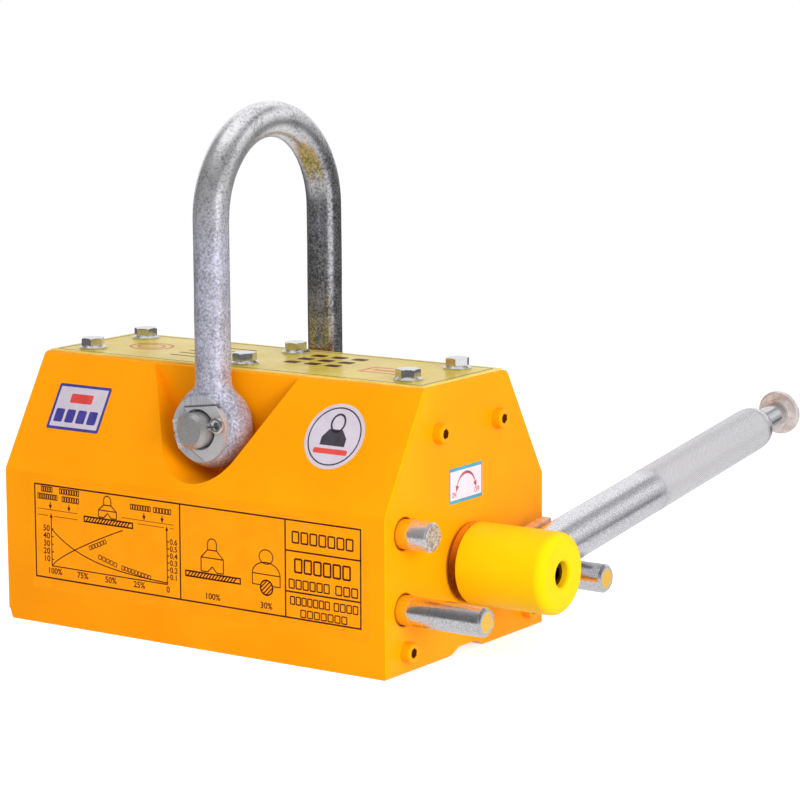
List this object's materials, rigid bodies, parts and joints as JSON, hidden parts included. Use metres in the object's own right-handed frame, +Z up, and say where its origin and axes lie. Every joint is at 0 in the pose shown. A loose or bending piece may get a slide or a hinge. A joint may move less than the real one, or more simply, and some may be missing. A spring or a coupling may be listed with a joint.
{
  "type": "permanent magnetic lifter",
  "caption": "House-shaped lifting magnet with a swinging shackle on top and a side lever that turns the magnet rotor inside between holding and release.",
  "frame": {"origin": "middle of the lifting face, on the plane of the two pole faces", "axes": "+X along the body towards the lever end, -Y to the printed front face, +Z up to the shackle"},
  "size_m": [0.331, 0.3838, 0.2955],
  "materials": {
    "orange_paint": "gloss enamel",
    "zinc_plate": "bright zinc plating",
    "galvanised_steel": "galvanised, mottled",
    "yellow_plastic": "moulded, satin",
    "dark_steel": "oiled black",
    "rotor_steel": "ground",
    "magnet_nickel": "nickel plated",
    "stainless_spacer": "rolled stainless steel",
    "bronze": "sintered bronze",
    "printed_sheet": "glossy printed sheet",
    "spring_steel": "drawn wire"
  },
  "bodies": {
    "housing": {"pole_front": "orange_paint", "pole_rear": "orange_paint", "lower_spacer": "stainless_spacer", "upper_spacer": "stainless_spacer", "stator_magnets": "magnet_nickel", "hub_end_plate": "orange_paint", "rear_end_plate": "orange_paint", "hub_end_screws": "orange_paint", "rear_end_screws": "orange_paint", "hub_end_bush": "bronze", "rear_end_bush": "bronze", "hub_thrust_washer": "bronze", "rear_thrust_washer": "bronze", "top_cover": "printed_sheet", "top_bolts": "zinc_plate", "stop_pin_on": "zinc_plate", "stop_pin_off": "zinc_plate", "lock_pin": "zinc_plate"},
    "rotor": {"rotor_segment_front": "rotor_steel", "rotor_segment_rear": "rotor_steel", "rotor_magnets": "magnet_nickel", "rotor_strip_upper": "stainless_spacer", "rotor_strip_lower": "stainless_spacer", "drive_shaft": "dark_steel", "rear_journal": "dark_steel", "hub_rotor_screws": "dark_steel", "rear_rotor_screws": "dark_steel", "shaft_key": "dark_steel", "hub": "dark_steel", "hub_sleeve": "yellow_plastic", "hub_screw": "dark_steel", "lever": "zinc_plate", "lever_guide": "bronze", "lock_spring": "spring_steel"},
    "lock": {"lock_rod": "zinc_plate", "lock_button": "zinc_plate", "lock_tongue": "zinc_plate", "tongue_pin": "dark_steel"},
    "shackle": {"shackle_bow": "galvanised_steel", "shackle_pin": "zinc_plate", "front_eye_washer": "zinc_plate", "rear_eye_washer": "zinc_plate", "front_split_pin": "zinc_plate", "rear_split_pin": "zinc_plate"}
  },
  "joints": [
    {"name": "handle_turn", "type": "hinge", "parent": "housing", "child": "rotor", "pos_m": [0, 0, 0.05], "axis": [1, 0, 0], "range_deg": [-2, 166]},
    {"name": "lock_press", "type": "slide", "parent": "rotor", "child": "lock", "axis": [0, -0.9905, -0.1374], "range_m": [0, 0.009], "stiffness_N_per_m": 800, "springref_m": -0.006, "deforming": ["lock_spring"]},
    {"name": "shackle_swing", "type": "hinge", "parent": "housing", "child": "shackle", "pos_m": [0, 0, 0.12], "axis": [0, 1, 0], "range_deg": [-55, 55]}
  ]
}
